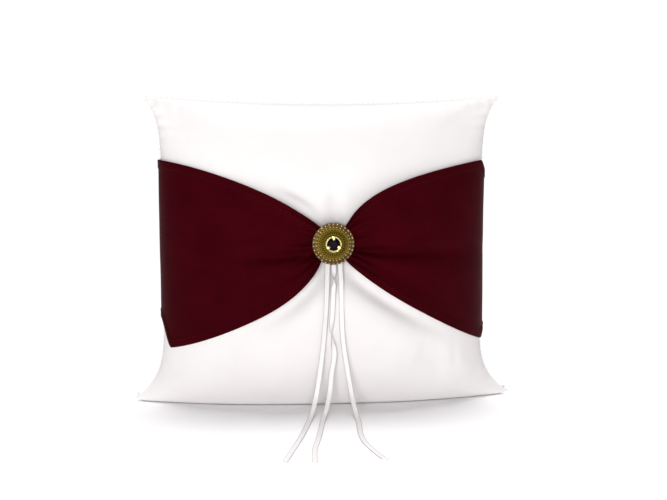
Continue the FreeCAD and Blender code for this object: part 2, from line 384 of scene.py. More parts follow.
def agedBrassMaterial(name, dark, bright, roughness):
    # aged metal: "relief" is 0 in the valleys, where it is dark and dull, and 1 on the worn tops
    grainShare = 0.35
    material = newMaterial(name, bright, Metallic=1.0, Roughness=roughness)
    place = addNode(material, "TexCoord").outputs["Object"]
    relief = addNode(material, "Attribute", attribute_name="relief").outputs["Fac"]
    grain = addNode(material, "TexNoise", [("Vector", place)], Scale=900.0, Detail=4.0)
    mixed = addNode(material, "Math", [(0, grain.outputs["Fac"]), (2, relief)], operation="MULTIPLY_ADD")
    mixed.inputs[1].default_value = grainShare
    stops = [(0.2, dark), (1.1 / (1 + grainShare), bright)]
    toShader(material, "Base Color", ramp(material, mixed.outputs[0], stops))
    dull = addNode(material, "MapRange", [("Value", mixed.outputs[0])])
    dull.inputs["To Min"].default_value = min(1.0, roughness + 0.3)
    dull.inputs["To Max"].default_value = roughness
    toShader(material, "Roughness", dull.outputs["Result"])
    bump = addNode(material, "Bump", [("Height", grain.outputs["Fac"])], Strength=0.12, Distance=0.0001)
    toShader(material, "Normal", bump.outputs["Normal"])
    return material


def stoneMaterial():
    # opaque black-violet stone under a clear gloss, with faint cloudiness inside
    material = newMaterial(
        "black stone",
        (0.006, 0.002, 0.006),
        Roughness=0.22,
        Coat_Weight=0.05,
        Coat_Roughness=0.05,
        Specular_IOR_Level=0.03,
    )
    place = addNode(material, "TexCoord").outputs["Object"]
    cloud = addNode(material, "TexNoise", [("Vector", place)], Scale=500.0, Detail=3.0)
    stops = [(0.35, (0.002, 0.0005, 0.003)), (0.75, (0.008, 0.002, 0.009))]
    toShader(material, "Base Color", ramp(material, cloud.outputs["Fac"], stops))
    return material


whiteSatin = whiteSatinMaterial()
burgundySatin = burgundySatinMaterial()
ribbonSatin = ribbonSatinMaterial()
whiteThread = threadMaterial()
burgundyThread = burgundyThreadMaterial()
fibreFill = fibreMaterial()
discBrass = agedBrassMaterial("antique brass", (0.026, 0.020, 0.003), (0.165, 0.112, 0.014), 0.44)
beadBrass = agedBrassMaterial("bead brass", (0.060, 0.042, 0.014), (0.52, 0.36, 0.21), 0.26)
paleGold = agedBrassMaterial("pale gold", (0.20, 0.15, 0.04), (0.90, 0.80, 0.36), 0.22)
blackStone = stoneMaterial()
print("finishes ready")


# ribbon tails

ribbon = {
    "width": 0.0032,
    "thickness": 0.0003,
    "stepsAcross": 5,
    "cup": 0.00018,  # how far the middle stands out from the two edges
    "endSlant": 0.8,  # the cut's lean, in widths of ribbon
    "slantReach": 0.008,  # how far up the tail the lean starts
    "above": 0.00008,  # the least height of a tail's underside
}

ribbonRoutes = {  # points listed one by one, from under the button to the cut end
    "ribbon_left": [
        (0.0007, -0.0308, 0.0980),
        (0.0004, -0.0332, 0.0910),
        (-0.0001, -0.0376, 0.0785),
        (-0.0010, -0.0398, 0.0620),
        (-0.0026, -0.0405, 0.0440),
        (-0.0054, -0.0414, 0.0220),
        (-0.0082, -0.0436, 0.0072),
        (-0.0112, -0.0520, 0.0006),
        (-0.0144, -0.0680, 0.0004),
        (-0.0186, -0.0900, 0.0004),
        (-0.0246, -0.1150, 0.0004),
        (-0.0302, -0.1380, 0.0004),
    ],
    "ribbon_middle": [
        (0.0046, -0.0308, 0.0980),
        (0.0044, -0.0332, 0.0910),
        (0.0039, -0.0377, 0.0780),
        (0.0031, -0.0398, 0.0635),
        (0.0020, -0.0406, 0.0500),
        (0.0048, -0.0409, 0.0385),
        (0.0023, -0.0412, 0.0260),
        (0.0012, -0.0428, 0.0130),
        (-0.0016, -0.0483, 0.0034),
        (-0.0044, -0.0585, 0.0004),
        (-0.0066, -0.0760, 0.0004),
        (-0.0096, -0.0980, 0.0004),
        (-0.0136, -0.1200, 0.0004),
        (-0.0142, -0.1395, 0.0004),
    ],
    "ribbon_right": [
        (0.0083, -0.0308, 0.0980),
        (0.0084, -0.0332, 0.0910),
        (0.0088, -0.0376, 0.0785),
        (0.0087, -0.0398, 0.0620),
        (0.0094, -0.0406, 0.0460),
        (0.0125, -0.0415, 0.0260),
        (0.0153, -0.0438, 0.0095),
        (0.0170, -0.0525, 0.0016),
        (0.0172, -0.0660, 0.0004),
        (0.0152, -0.0930, 0.0004),
        (0.0178, -0.1160, 0.0004),
        (0.0240, -0.1380, 0.0004),
    ],
}

ribbonTwists = {  # degrees about the ribbon's own line, from its top (0) to its cut end (1)
    "ribbon_left": lambda t: 14 * np.sin(9 * t) * (1 - smoothStep(0.42, 0.5, t)),
    "ribbon_middle": lambda t: 180 * smoothStep(0.045, 0.115, t) + 180 * smoothStep(0.19, 0.34, t),
    "ribbon_right": lambda t: -18 * np.sin(8 * t) * (1 - smoothStep(0.4, 0.5, t)),
}


def splinePoints(name, route):
    # points of one open NURBS curve of order 3 that has the route's points as its control points
    curve = bpy.data.curves.new(name + " line", "CURVE")
    curve.dimensions = "3D"
    curve.resolution_u = 12
    spline = curve.splines.new("NURBS")
    spline.points.add(len(route) - 1)
    spline.points.foreach_set("co", np.array([(*p, 1.0) for p in route], np.float32).ravel())
    spline.order_u = 3
    spline.use_endpoint_u = True
    line = bpy.data.objects.new(name + " line", curve)
    scene.collection.objects.link(line)
    bpy.context.view_layer.update()
    mesh = bpy.data.meshes.new_from_object(line)
    points = pointsOf(mesh)
    bpy.data.objects.remove(line)
    bpy.data.meshes.remove(mesh)
    return points


def lengthAlong(line):
    # running length of a line of points
    return np.concatenate([[0], np.cumsum(np.linalg.norm(np.diff(line, axis=0), axis=1))])


def ribbonStrip(name, line, twist, slant):
    # flat strip: line + side * across + normal * cup * (1 - (2 across / width)^2), closed round its thickness
    along = lengthAlong(line)
    forward = np.gradient(line, axis=0)
    forward /= np.linalg.norm(forward, axis=1, keepdims=True)
    side = np.array([1.0, 0, 0]) - forward[:, :1] * forward
    side /= np.linalg.norm(side, axis=1, keepdims=True)
    normal = np.cross(side, forward)
    turn = np.radians(twist(along / along[-1]) * np.ones(len(along)))[:, None]
    twisted = side * np.cos(turn) + normal * np.sin(turn)
    side, normal = twisted, normal * np.cos(turn) - side * np.sin(turn)
    n = ribbon["stepsAcross"]
    across = np.linspace(-0.5, 0.5, n)
    across = np.concatenate([across, across[::-1]]) * ribbon["width"]
    lift = ribbon["cup"] * (1 - (2 * across / ribbon["width"]) ** 2)
    lift = lift + ribbon["thickness"] / 2 * np.repeat([1, -1], n)
    lean = smoothStep(along[-1] - ribbon["slantReach"], along[-1], along)[:, None] * slant * across[None, :]
    points = line[:, None] + side[:, None] * across[None, :, None] + normal[:, None] * lift[None, :, None]
    points = points + forward[:, None] * lean[:, :, None]
    points[..., 2] = np.maximum(points[..., 2], ribbon["above"])
    rows, columns = points.shape[:2]
    k = np.arange(n - 1)
    cap = np.stack([k, k + 1, columns - 2 - k, columns - 1 - k], -1)
    last = (rows - 1) * columns
    faces = np.concatenate([gridFaces(rows, columns, closeColumns=True), cap, last + cap[:, ::-1]])
    fromEdge = across[None, :] + ribbon["width"] / 2
    uv = np.stack(np.broadcast_arrays(along[:, None], fromEdge), -1) / ribbon["width"]
    piece = meshPiece(name, points, faces, uv, ribbonSatin)
    closeMesh(piece, distance=1e-8)
    return piece


def ribbonTail(name):
    # one loose tail along its route's spline
    line = splinePoints(name, ribbonRoutes[name])
    piece = ribbonStrip(name.split("_")[1] + "RibbonTail", line, ribbonTwists[name], ribbon["endSlant"])
    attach(piece, "pillow")
    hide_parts(name)


for name in ribbonRoutes:
    ribbonTail(name)


ribbonKnot = {
    "offsets": (-0.0041, 0.0, 0.0041),  # of the strips, from the button's middle
    "tops": (0.0042, -0.0036, 0.0040),  # how far above the button's middle each one folds over
    "bottom": -0.0095,
    "foldRadius": 0.0008,
    "behind": 0.0030,  # distance behind the plate at the bottom
    "furtherBehind": 0.0030,  # and how much is added to it from the level up
    "level": -0.002,
    "stepsUp": 14,
    "stepsRound": 8,
    "shortBy": 5,  # steps by which the front run ends above the back one
}


def ribbonLoops():
    # folded middles behind the button: up, over a half circle and down again, one strip for each tail
    parts = []
    up, around, r = ribbonKnot["stepsUp"], ribbonKnot["stepsRound"], ribbonKnot["foldRadius"]
    for offset, top in zip(ribbonKnot["offsets"], ribbonKnot["tops"]):
        height = np.linspace(ribbonKnot["bottom"], top, up)
        rising = smoothStep(ribbonKnot["bottom"], ribbonKnot["level"], height)
        behind = ribbonKnot["behind"] + ribbonKnot["furtherBehind"] * rising
        back = np.stack([np.full(up, buttonX + offset), plateBack + behind, buttonZ + height], -1)
        fold = np.linspace(0, math.pi, around + 1)[1:]
        foldY, foldZ = plateBack + behind[-1] - r + r * np.cos(fold), buttonZ + top + r * np.sin(fold)
        turn = np.stack([np.full(around, buttonX + offset), foldY, foldZ], -1)
        down = back[::-1] + np.array([0, -2 * r, 0])
        line = np.concatenate([back, turn, down[1 : -ribbonKnot["shortBy"]]])
        parts.append(ribbonStrip("ribbonLoop" + str(len(parts)), line, lambda t: 0, 0.0))
    for part in parts:
        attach(part, "pillow")
    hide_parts("ribbon_loop")


ribbonLoops()
print("ribbons ready")


# the pillow's shape, which the cover, the filling and the band share

pillow = {
    "middleWidth": 0.207,  # half way up
    "upperFlare": 0.011,  # how far each upper corner stands out beyond that
    "flareSharpness": 8,
    "bulgeHeight": 0.101,
    "topDip": 0.005,
    "halfDepth": 0.037,
    "fullness": 0.65,  # how slowly the depth falls off towards the seam
    "fullnessDrop": 0.35,  # less of it upwards, more downwards
    "squash": 0.008,  # how far the lower edge is pressed flat
    "earLift": 0.010,
    "cornerFlat": 0.14,
    "sideFlat": 0.03,
    "pinch": 0.011,
    "pinchSize": (0.030, 0.022),  # across and up
    "shankPinch": 0.005,
    "shankPinchRadius": 0.011,
}
pillow["lowerFlare"] = coverHigh.x - pillow["middleWidth"] / 2


def spread(angle, flat):
    # (1 - flat) sin(angle) + flat * angle / 90 degrees, folded back past 90 degrees
    return (1 - flat) * np.sin(angle) + flat * np.arcsin(np.sin(angle)) / (math.pi / 2)


def reachUp(a):
    return coverHigh.z - pillow["bulgeHeight"] - pillow["topDip"] * (1 - a * a)


def reachDown(a):
    return pillow["bulgeHeight"] + pillow["squash"] - pillow["earLift"] * a**4


def skinPoints(angleX, b, z, inset):
    # x = a (half width at b - inset), y = -(depth * cos(angleX) * crown(b) - pinches), z as given;
    # past 90 degrees it is the back
    a = spread(angleX, pillow["sideFlat"] + (pillow["cornerFlat"] - pillow["sideFlat"]) * b * b)
    flare = np.where(b > 0, pillow["upperFlare"], pillow["lowerFlare"])
    x = a * (pillow["middleWidth"] / 2 + flare * np.abs(b) ** pillow["flareSharpness"] - inset)
    cosine = np.cos(angleX)
    roundness = np.sqrt(np.maximum(0, 1 - b * b))
    fullness = pillow["fullness"] - pillow["fullnessDrop"] * b
    crown = np.abs(cosine) * roundness * np.sqrt(1 + fullness * b * b)
    aside, rise = x - buttonX, z - buttonZ
    wideX, wideZ = pillow["pinchSize"]
    wide = pillow["pinch"] * np.exp(-((aside / wideX) ** 2) - (rise / wideZ) ** 2)
    narrow = pillow["shankPinch"] * bell(np.hypot(aside, rise), pillow["shankPinchRadius"])
    depth = (pillow["halfDepth"] - inset) * crown - (wide + narrow) * np.sqrt(np.abs(cosine)) * roundness
    return np.stack(np.broadcast_arrays(x, -np.sign(cosine) * np.maximum(depth, 0), z), -1)


def levelOf(a, z):
    # b at a height: distance from the thickest level over the reach there
    rise = z - pillow["bulgeHeight"]
    return rise / np.where(rise > 0, reachUp(a), reachDown(a))


def cushionGrid(columns, rows, inset):
    # whole skin: angleX runs once round from -90 degrees, angleZ from -90 to 90; also gives both angles
    angleX = np.linspace(-math.pi / 2, 3 * math.pi / 2, columns + 1)[None, :-1]
    angleZ = np.linspace(-math.pi / 2, math.pi / 2, rows)[:, None]
    a, b = spread(angleX, pillow["cornerFlat"]), spread(angleZ, pillow["cornerFlat"])
    reach = np.where(b > 0, reachUp(a), reachDown(a)) - inset
    z = pillow["bulgeHeight"] + b * reach
    return skinPoints(angleX, b + 0 * a, z, inset), a + 0 * b, b + 0 * a, np.cos(angleX) + 0 * b


bandShape = {  # full height beyond the button's middle, power of the share, roundness; left and right half
    "above": ((0.0510, 0.85, 1.4), (0.0510, 0.50, 1.2)),
    "below": ((0.0700, 0.70, 1.25), (0.0675, 0.90, 1.1)),
    "gathered": {"above": 0.0120, "below": 0.0135},
    "gatherShare": 0.08,  # half width of the gathered middle, as a share of the half width
    # how much the edge draws in at each corner, and the share of the half width where that starts
    "cornerTurn": {"above": ((0.0, 0.9), (0.007, 0.95)), "below": ((0.020, 0.92), (0.006, 0.96))},
    "backTurnStart": 0.1,
}


def bandEdge(side, a, front):
    # distance from the button's middle: gathered + (full - gathered)(1 - (1 - share^power)^roundness),
    # less the corner's turn
    middle = 2 * buttonX / pillow["middleWidth"]
    right = smoothStep(-1, 1, a)
    half = (a > middle).astype(int)
    full, power, roundness = (np.array(bandShape[side])[half, k] for k in range(3))
    both = np.array(bandShape[side])[:, 0]
    full = np.where(front, full, both[0] + (both[1] - both[0]) * right)
    narrow, gather = bandShape["gathered"][side], bandShape["gatherShare"]
    share = (np.abs(a - middle) - gather) / (1 + middle * (1 - 2 * half) - gather)
    share = np.clip(np.where(front, share, 1), 0, 1) ** power
    turn, start = (np.array(bandShape["cornerTurn"][side])[(a > 0).astype(int), k] for k in range(2))
    start = np.where(front, start, bandShape["backTurnStart"])
    opened = (full - narrow) * (1 - (1 - share) ** roundness)
    return narrow + opened - turn * smoothStep(start, 1, np.abs(a))


cover = {
    "columns": 112,  # of the simulated net, which is made twice as fine afterwards
    "rows": 50,
    "rest": 0.0004,  # height of the pressed edge above the table
    "pressure": 0.15,
    "letOut": 0.02,  # how much longer the cloth is than the shape it fills
    "frames": 20,
    "cap": 0.0055,  # the most that a point may move
    "upperReach": 0.096,  # from the thickest level to the seam, for the distance from the rim
    "seamDepthShare": 0.4,  # how much of a point's depth counts towards that distance
    "rimFade": (0.0, 0.022),  # where the movement starts and where it is whole: from the rim,
    "bandFade": (0.001, 0.024),  # from the band's edge
    "tableFade": (0.002, 0.05),  # and from the table
    "puckerPitch": 0.0075,
    "puckerDepth": 0.00055,
    "puckerReach": 0.010,
    "puckerWander": 1.3,  # uneven spacing, in radians
    "puckerHeights": (0.75, 0.5),  # usual share of the depth, and how much it varies
    "creaseDepth": 0.0024,
}

creases = (  # strength, then two distances, each with the crease's middle and width on it
    (1.0, "aside", 0.0015, 0.0045, "rise", 0.024, 0.012),  # straight up from the button
    (1.9, "above", 0.0042, 0.0026, "aside", -0.024, 0.010),  # along the band's upper left edge
    (1.1, "below", 0.0050, 0.0045, "aside", -0.020, 0.018),  # along its lower left edge
    (2.1, "below", 0.0050, 0.0042, "aside", 0.034, 0.022),  # along its lower right edge
    (0.7, "aside", -0.0040, 0.0060, "rise", -0.028, 0.014),  # straight down from the button
)


def halved(grid, closed):
    # new points between neighbours along axis 1: (9 (both near ones) - both far ones) / 16
    if closed:
        before, after, last = np.roll(grid, 1, 1), np.roll(grid, -1, 1), np.roll(grid, -2, 1)
    else:
        end, inner = grid[:, -1:], grid[:, -2:-1]
        before = np.concatenate([2 * grid[:, :1] - grid[:, 1:2], grid[:, :-1]], 1)
        after = np.concatenate([grid[:, 1:], 2 * end - inner], 1)
        last = np.concatenate([grid[:, 2:], 2 * end - inner, 3 * end - 2 * inner], 1)
    between = (9 * (grid + after) - before - last) / 16
    woven = np.stack([grid, between], 2).reshape(grid.shape[0], -1, grid.shape[2])
    return woven if closed else woven[:, :-1]


def swell(points):
    # cloth simulation of the net of points, let out and blown up a little; gives each point's movement
    rows, columns = points.shape[:2]
    work = meshPiece("swelling", points, gridFaces(rows, columns, closeColumns=True))
    held = work.vertex_groups.new(name="held")
    flat = points.reshape(-1, 3)
    held.add(np.flatnonzero(flat[:, 2] < cover["rest"] * 1.5).tolist(), 1.0, "REPLACE")
    cloth = work.modifiers.new("cloth", "CLOTH")
    settings = cloth.settings
    settings.quality = 6
    settings.mass = 0.12
    settings.tension_stiffness = settings.compression_stiffness = 18
    settings.shear_stiffness = 6
    settings.bending_stiffness = 0.25
    settings.use_pressure = True
    settings.uniform_pressure_force = cover["pressure"]
    settings.shrink_min = -cover["letOut"]
    settings.effector_weights.gravity = 0
    settings.vertex_group_mass = held.name
    cloth.point_cache.frame_start = 1
    cloth.point_cache.frame_end = cover["frames"]
    for step in range(1, cover["frames"] + 1):
        scene.frame_set(step)
    solved = bpy.data.meshes.new_from_object(work.evaluated_get(bpy.context.evaluated_depsgraph_get()))
    moved = pointsOf(solved) - flat
    bpy.data.objects.remove(work)
    bpy.data.meshes.remove(solved)
    scene.frame_set(1)
    return moved.reshape(points.shape)


def coverMask(points, a, b, front):
    # how much a point may move: 0 along the seam, on the table and under the band, 1 well away from all three
    halfWidth = pillow["middleWidth"] / 2
    rim = np.minimum((1 - np.abs(a)) * halfWidth, np.where(b > 0, 1 - b, 1.0) * cover["upperReach"])
    rim = np.hypot(rim, points[..., 1] * cover["seamDepthShare"])
    above = points[..., 2] - buttonZ - bandEdge("above", a, front)
    below = buttonZ - bandEdge("below", a, front) - points[..., 2]
    outside = np.maximum(above, below)
    mask = smoothStep(*cover["rimFade"], rim) * smoothStep(*cover["bandFade"], outside)
    return mask * smoothStep(*cover["tableFade"], points[..., 2]), rim, above, below


def coverCreases(points, above, below, front):
    # sum of strength * bell(distance - middle, width) * bell(other distance - its middle, its width)
    far = {"above": above, "below": below}
    far["aside"], far["rise"] = points[..., 0] - buttonX, points[..., 2] - buttonZ
    total = 0
    for strength, one, middle, width, other, otherMiddle, otherWidth in creases:
        total = total + strength * bell(far[one] - middle, width) * bell(far[other] - otherMiddle, otherWidth)
    return np.where(front, -cover["creaseDepth"] * total, 0.0)


def seamPuckers(points, a, b, rim, outside):
    # depth * uneven sine along the seam * exp(-distance from the seam / reach)
    along = np.where(np.abs(a) > np.abs(b), points[..., 2], points[..., 0])
    wander = cover["puckerWander"] * softNoise(along * 60, along * 0, 3)
    usual, varied = cover["puckerHeights"]
    wave = np.sin(2 * math.pi * along / cover["puckerPitch"] + wander)
    wave = wave * (usual + varied * softNoise(along * 25 + 4, along * 9, 8))
    fade = smoothStep(0.0, 0.0025, rim) * np.exp(-rim / cover["puckerReach"])
    fade = fade * smoothStep(0.004, 0.02, points[..., 2]) * smoothStep(0.0, 0.006, outside)
    return cover["puckerDepth"] * wave * fade


def makeCover():
    # skin + simulated movement (masked and capped) + seam puckers + creases along the normals
    points, _, _, _ = cushionGrid(cover["columns"], cover["rows"], 0.0)
    points[..., 2] = np.maximum(points[..., 2], cover["rest"])
    moved = swell(points)
    moved = halved(halved(moved, True).transpose(1, 0, 2), False).transpose(1, 0, 2)
    rows, columns = 2 * cover["rows"] - 1, 2 * cover["columns"]
    points, a, b, cosine = cushionGrid(columns, rows, 0.0)
    front = cosine > 0
    points[..., 2] = np.maximum(points[..., 2], cover["rest"])
    mask, rim, above, below = coverMask(points, a, b, front)
    size = np.maximum(np.linalg.norm(moved, axis=-1, keepdims=True), 1e-9)
    swelling = np.round(np.percentile(size * 1000, [50, 90, 100]), 2)
    print("cover swells by", swelling, "mm before it is held back: half, nine tenths and all of its points")
    held = cover["cap"] * np.tanh(size / cover["cap"])  # never more than the cap
    points = points + moved / size * held * mask[..., None]
    normal = gridNormals(points, closeColumns=True)
    outward = np.where(front, -1, 1)  # along Y
    normal *= np.sign(normal[..., 1] * outward)[..., None]
    lift = seamPuckers(points, a, b, rim, np.maximum(above, below))
    lift = lift + coverCreases(points, above, below, front)
    points = points + normal * lift[..., None]
    points[..., 2] = np.maximum(points[..., 2], cover["rest"])
    faces = gridFaces(rows, columns, closeColumns=True)
    piece = meshPiece("satinCover", points, faces, material=whiteSatin)
    closeMesh(piece, distance=2e-6)
    smooth = piece.modifiers.new("finer", "SUBSURF")
    smooth.levels = smooth.render_levels = 1
    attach(piece, "pillow")
    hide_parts("cover_front", "cover_back")
    return piece


filling = {
    "columns": 96,
    "rows": 48,
    "inset": 0.003,  # from the cover
    "depthShare": 0.92,
    "lumpDepth": 0.02,  # as a share of the depth
    "lumpScale": 90,
}


def makeFilling():
    # the cushion's shape drawn in a little, with soft lumps of fibre
    columns, rows = filling["columns"], filling["rows"]
    points, _, _, _ = cushionGrid(columns, rows, filling["inset"])
    points[..., 2] = np.maximum(points[..., 2], filling["inset"])
    lumps = softNoise(points[..., 0] * filling["lumpScale"], points[..., 2] * filling["lumpScale"], 11)
    points[..., 1] *= filling["depthShare"] + filling["lumpDepth"] * lumps
    piece = meshPiece("fibreFilling", points, gridFaces(rows, columns, closeColumns=True), material=fibreFill)
    closeMesh(piece, distance=2e-6)
    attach(piece, "pillow")
    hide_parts("filling")


coverPiece = makeCover()
makeFilling()
print("cover and filling ready")


# burgundy band

band = {
    "columns": 448,
    "rows": 84,
    "gap": 0.0012,  # clear of the cover
    "thickness": 0.0006,
    "hem": 0.0055,
    "hemLift": 0.00035,
    "hemStitch": 0.0010,  # from the hem's fold to its stitches
    "stitchStand": 0.3,  # how far they stand out, in radii of the thread
    "skinInset": -0.0001,  # a little outside the pillow's skin
    "foldCount": 8,
    "foldDepth": 0.0024,
    "foldReach": (0.006, 0.015),  # where folds are deepest, from the button, and how far they run
    "foldWander": 0.35,
    "slowCount": 2.6,
    "slowFold": 0.0016,
    "slowReach": (0.024, 0.026),
    "valley": 0.0048,  # how far the cloth stands out on both sides of it
    "valleyMiddle": 0.026,
    "valleyReach": (0.026, 0.040),  # left and right
    "valleyDrop": (0.0078, 0.0048),  # below the button's middle, left and right
    "valleySlope": 0.02,  # how it falls away to the right
    "valleyWidth": (0.0028, 0.03),  # at the button, and how it opens outwards
    "drape": 0.00035,
    "clearOfPlate": 0.0006,  # the folds stay this far behind the button's plate
    "plateReach": 1.3,  # out to this many of its radii
    "backRays": 9,  # folds round the knot at the back
    "backStart": 0.006,
    "backReach": 0.020,
    "backFold": 0.0018,
}


def bandFolds(aside, rise, v, front):
    # how far the cloth stands out: pleats that run in to the button + slow folds further out
    # + a fullness left out along one valley on each side; at the back, rays round the knot
    reach, side, left = np.abs(aside), np.sign(aside), aside < 0
    warp = band["foldWander"] * softNoise(aside * 45, v * 3, 5)
    pleats = 0.5 + 0.5 * np.sin(2 * math.pi * (band["foldCount"] * v + warp) + 0.7 * side)
    near = band["foldDepth"] * bell(reach - band["foldReach"][0], band["foldReach"][1]) * pleats**0.8
    slow = 0.5 + 0.5 * np.sin(2 * math.pi * (band["slowCount"] * v + 0.5 * warp) + 1.0 + 0.8 * side)
    far = band["slowFold"] * bell(reach - band["slowReach"][0], band["slowReach"][1]) * slow
    line = rise + np.where(left, band["valleyDrop"][0], band["valleyDrop"][1] + band["valleySlope"] * reach)
    beside = 1 - bell(line, band["valleyWidth"][0] + band["valleyWidth"][1] * reach)
    valleyReach = np.where(left, *band["valleyReach"])
    valley = band["valley"] * bell(reach - band["valleyMiddle"], valleyReach) * beside
    drape = band["drape"] * (1 + softNoise(aside * 28 + 3, rise * 40, 21)) * smoothStep(0.01, 0.05, reach)
    around = np.arctan2(rise, aside)
    ray = 0.5 + 0.5 * np.cos(band["backRays"] * around + 1.5 * np.sin(2 * around + 1))
    length = band["backReach"] * (1 + 0.35 * np.sin(3 * around + 2))
    tuck = band["backFold"] * ray * bell(np.hypot(aside, rise) - band["backStart"], length)
    return np.where(front, near + far + valley, tuck) + drape


def bandSkin(angleX, v):
    # point of the pillow's skin at a share v of the band's height, with its z and the band's height there
    a = spread(angleX, pillow["cornerFlat"])
    front = np.cos(angleX) > 0
    low, high = buttonZ - bandEdge("below", a, front), buttonZ + bandEdge("above", a, front)
    z = low + (high - low) * v
    return skinPoints(angleX, levelOf(a, z), z, band["skinInset"]), z, high - low


def bandSurface(angleX, v):
    # skin + normal * (gap + folds + hems), held back behind the button's plate;
    # the normal is the cross product of two short steps along the skin
    step = 1e-3
    skin, z, height = bandSkin(angleX, v)
    across = bandSkin(angleX + step, v)[0] - bandSkin(angleX - step, v)[0]
    upward = bandSkin(angleX, v + step)[0] - bandSkin(angleX, v - step)[0]
    normal = np.cross(across, upward)
    normal /= np.maximum(np.linalg.norm(normal, axis=-1, keepdims=True), 1e-12)
    hems = 1 - smoothStep(band["hem"] - 0.0008, band["hem"] + 0.0002, np.minimum(v, 1 - v) * height)
    folds = bandFolds(skin[..., 0] - buttonX, z - buttonZ, v, np.cos(angleX) > 0)
    lift = band["gap"] + folds + band["hemLift"] * hems
    points = skin + normal * lift[..., None]
    fromAxis = np.hypot(points[..., 0] - buttonX, points[..., 2] - buttonZ)
    free = smoothStep(plateRadius, plateRadius * band["plateReach"], fromAxis)  # past it, a metre of room
    points[..., 1] = np.maximum(points[..., 1], plateBack + band["clearOfPlate"] - free)
    return points, normal, height


def makeBand():
    # closed loop round the pillow, with a second layer inside it for its thickness
    columns, rows = band["columns"], band["rows"]
    angleX = np.linspace(-math.pi / 2, 3 * math.pi / 2, columns + 1)[None, :-1]
    v = np.linspace(0, 1, rows)[:, None]
    outer, normal, _ = bandSurface(angleX, v)
    points = np.concatenate([outer, (outer - normal * band["thickness"])[::-1]], 0)
    around = lengthAlong(outer[rows // 2])
    u = np.broadcast_to(around[None, :], (rows, columns)) * 1000
    w = np.broadcast_to(v * (bandHigh.z - bandLow.z) * 1000, (rows, columns))
    uv = np.stack([u, w], -1)
    uv = np.concatenate([uv, uv[::-1]], 0)
    faces = gridFaces(2 * rows, columns, closeRows=True, closeColumns=True)
    piece = meshPiece("burgundyBand", points, faces, uv, burgundySatin)
    closeMesh(piece, distance=1e-8)
    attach(piece, "pillow")
    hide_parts("band_front", "band_back")
    return piece


stitch = {
    "length": 0.0022,
    "pitch": 0.0032,
    "radius": 0.00020,
    "around": 6,
    "steps": 5,
    "slant": 0.16,  # sideways lean, as a share of its length
    "blunt": 0.01,  # the least of 1 - t^2, so that the ends aren't points
}


def pointsAt(values, along, places):
    # rows of values at places between the running lengths
    return np.stack([np.interp(places, along, values[:, k]) for k in range(3)], -1)


def stitches(line, side):
    # small threads along a line: centre + forward * t + across * r cos + side * r sin,
    # with r = radius (1 - t^2)^(1/2)
    along = lengthAlong(line)
    count = int(along[-1] / stitch["pitch"])
    places = (np.arange(count) + 0.5) * along[-1] / count
    quarter = stitch["pitch"] / 4
    centre, out = pointsAt(line, along, places), pointsAt(side, along, places)
    forward = pointsAt(line, along, places + quarter) - pointsAt(line, along, places - quarter)
    forward /= np.linalg.norm(forward, axis=1, keepdims=True)
    out -= np.sum(out * forward, 1, keepdims=True) * forward
    out /= np.linalg.norm(out, axis=1, keepdims=True)
    across = np.cross(out, forward)
    t = np.cos(np.linspace(math.pi, 0, stitch["steps"]))[None, :, None, None]
    turn = (np.arange(stitch["around"]) * 2 * math.pi / stitch["around"])[None, None, :, None]
    radius = stitch["radius"] * np.sqrt(np.maximum(1 - t * t, stitch["blunt"]))
    run = (forward + across * stitch["slant"])[:, None, None]
    points = centre[:, None, None] + run * t * stitch["length"] / 2
    points = points + radius * (across[:, None, None] * np.cos(turn) + out[:, None, None] * np.sin(turn))
    one = gridFaces(stitch["steps"], stitch["around"], closeColumns=True)
    size = stitch["steps"] * stitch["around"]
    faces = repeated(one, size, count)
    ring = np.arange(stitch["around"])
    ends = np.stack([ring[:4], np.array([ring[0], ring[3], ring[4], ring[5]])])
    ends = np.concatenate([ends[:, ::-1], ends + size - stitch["around"]])
    return points.reshape(-1, 3), np.concatenate([faces, repeated(ends, size, count)])


def hemStitches():
    # one row of stitches along each hem
    angleX = np.linspace(-math.pi / 2, 3 * math.pi / 2, 900)
    rows = []
    for fromBottom in (True, False):
        height = bandSkin(angleX, 0.5)[2]
        share = (band["hem"] - band["hemStitch"]) / height
        points, normal, _ = bandSurface(angleX, share if fromBottom else 1 - share)
        rows.append(stitches(points + normal * stitch["radius"] * band["stitchStand"], normal))
    points = np.concatenate([row[0] for row in rows])
    faces = np.concatenate([rows[0][1], rows[1][1] + len(rows[0][0])])
    piece = meshPiece("hemStitches", points, faces, material=burgundyThread)
    closeMesh(piece, distance=1e-8)
    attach(piece, "pillow")


makeBand()
hemStitches()
print("band ready")


# sewing

seam = {
    "clearance": 0.00045,  # from the cover's rim to the thread's middle
    "lowest": -0.86,  # the seam starts this far down each side, as a share of the way to the lower corner
    "steps": 260,
}


def seamLine():
    # up the right side (half width + clearance at each level), over the top and down the left side
    b = np.linspace(seam["lowest"], 1, seam["steps"])
    flare = np.where(b > 0, pillow["upperFlare"], pillow["lowerFlare"])
    x = pillow["middleWidth"] / 2 + flare * np.abs(b) ** pillow["flareSharpness"] + seam["clearance"]
    z = pillow["bulgeHeight"] + b * np.where(b > 0, reachUp(1.0), reachDown(1.0))
    right = np.stack([x, 0 * x, z], -1)
    a = np.linspace(1, -1, seam["steps"])[1:-1]
    top = np.stack([a * x[-1], 0 * a, pillow["bulgeHeight"] + reachUp(a) + seam["clearance"]], -1)
    return np.concatenate([right, top, right[::-1] * np.array([-1, 1, 1])])


